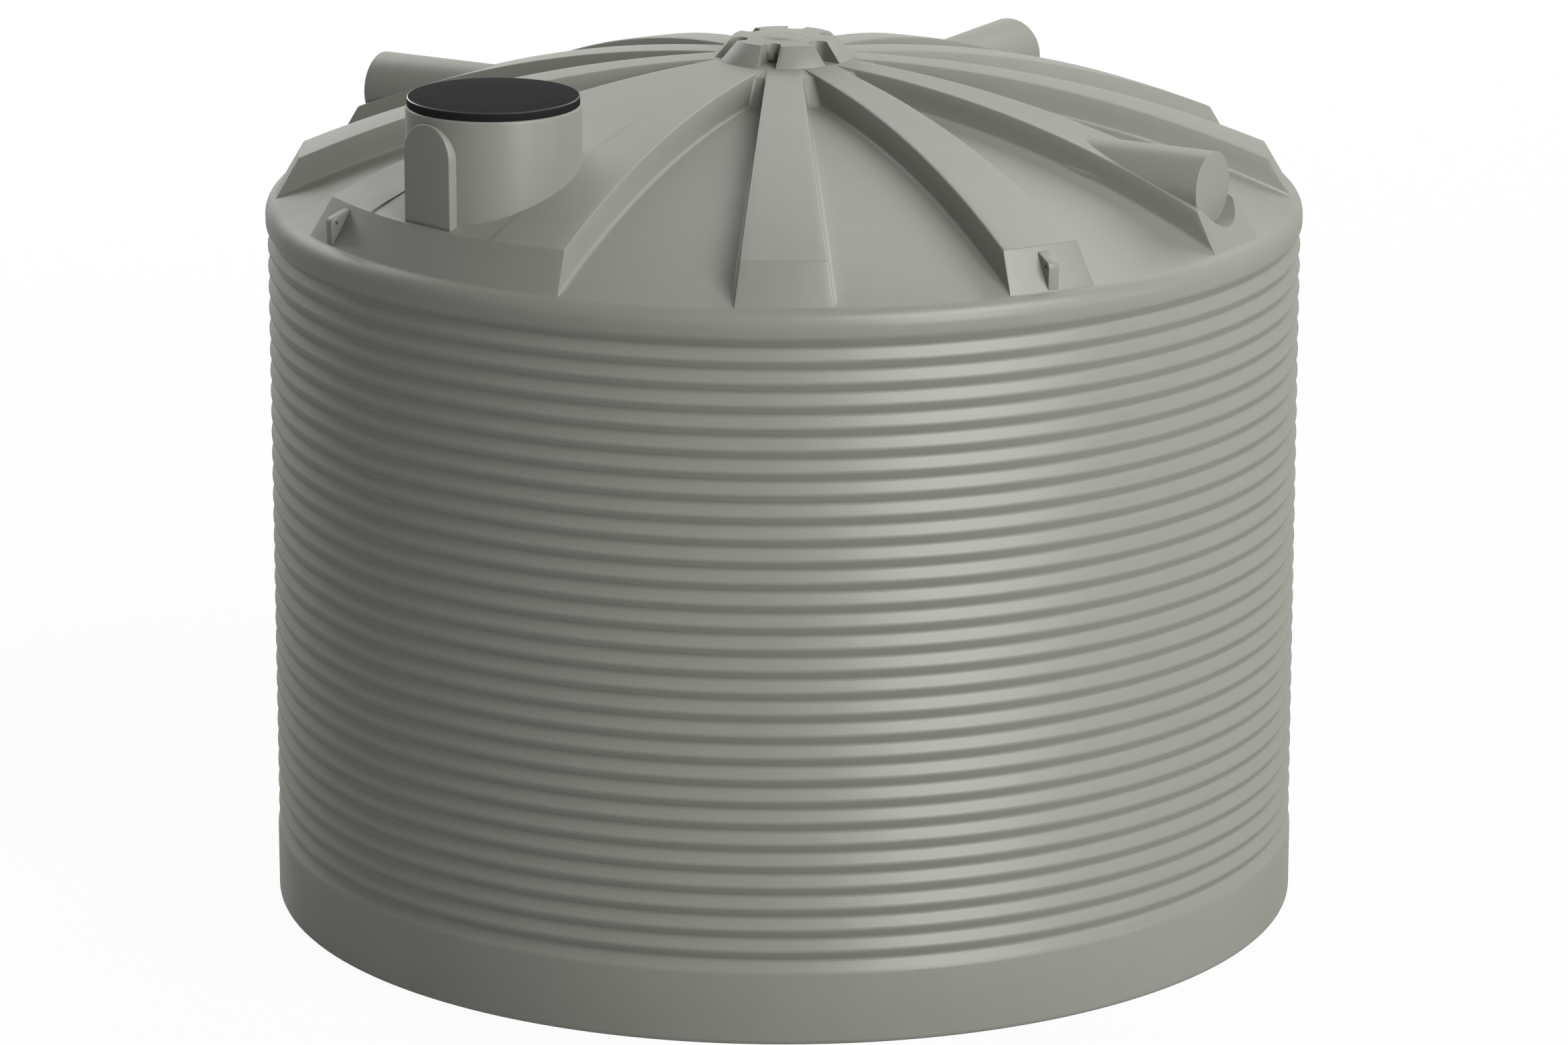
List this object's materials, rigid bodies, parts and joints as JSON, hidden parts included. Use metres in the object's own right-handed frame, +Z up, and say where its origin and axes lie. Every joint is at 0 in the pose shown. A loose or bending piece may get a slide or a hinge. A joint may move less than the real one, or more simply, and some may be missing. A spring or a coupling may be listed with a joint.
{
  "type": "water tank",
  "caption": "Round moulded plastic rainwater tank with ring-corrugated wall, ribbed dome roof, hatch neck with black lid, blank outlet bosses and tie-down lugs.",
  "frame": {"origin": "centre of the round base, on the ground", "axes": "+Z up along the tank's axis; -Y is the front in the picture, +X to its right; the hatch is at the front left"},
  "size_m": [3.606, 3.606, 3.0645],
  "materials": {
    "tank_stone": "satin moulded polyethylene",
    "lid_black": "fine-grained black polyethylene"
  },
  "bodies": {
    "root": {"boss_rib_060": "tank_stone", "boss_rib_150": "tank_stone", "boss_rib_240": "tank_stone", "floor_plate": "tank_stone", "hatch_lid": "lid_black", "hatch_neck": "tank_stone", "hatch_platform": "tank_stone", "hub_cap": "tank_stone", "outlet_pad": "tank_stone", "roof_crown": "tank_stone", "roof_panel_015": "tank_stone", "roof_panel_045": "tank_stone", "roof_panel_075": "tank_stone", "roof_panel_105": "tank_stone", "roof_panel_135": "tank_stone", "roof_panel_165": "tank_stone", "roof_panel_195": "tank_stone", "roof_panel_225": "tank_stone", "roof_panel_255": "tank_stone", "roof_panel_285": "tank_stone", "roof_panel_345": "tank_stone", "roof_rib_000": "tank_stone", "roof_rib_030": "tank_stone", "roof_rib_090": "tank_stone", "roof_rib_120": "tank_stone", "roof_rib_180": "tank_stone", "roof_rib_210": "tank_stone", "roof_rib_270": "tank_stone", "tie_down_lug_030": "tank_stone", "tie_down_lug_120": "tank_stone", "tie_down_lug_210": "tank_stone", "tie_down_lug_300": "tank_stone", "wall_segment_01": "tank_stone", "wall_segment_02": "tank_stone", "wall_segment_03": "tank_stone", "wall_segment_04": "tank_stone", "wall_segment_05": "tank_stone", "wall_segment_06": "tank_stone", "wall_segment_07": "tank_stone", "wall_segment_08": "tank_stone", "wall_segment_09": "tank_stone", "wall_segment_10": "tank_stone", "wall_segment_11": "tank_stone", "wall_segment_12": "tank_stone"}
  },
  "joints": []
}
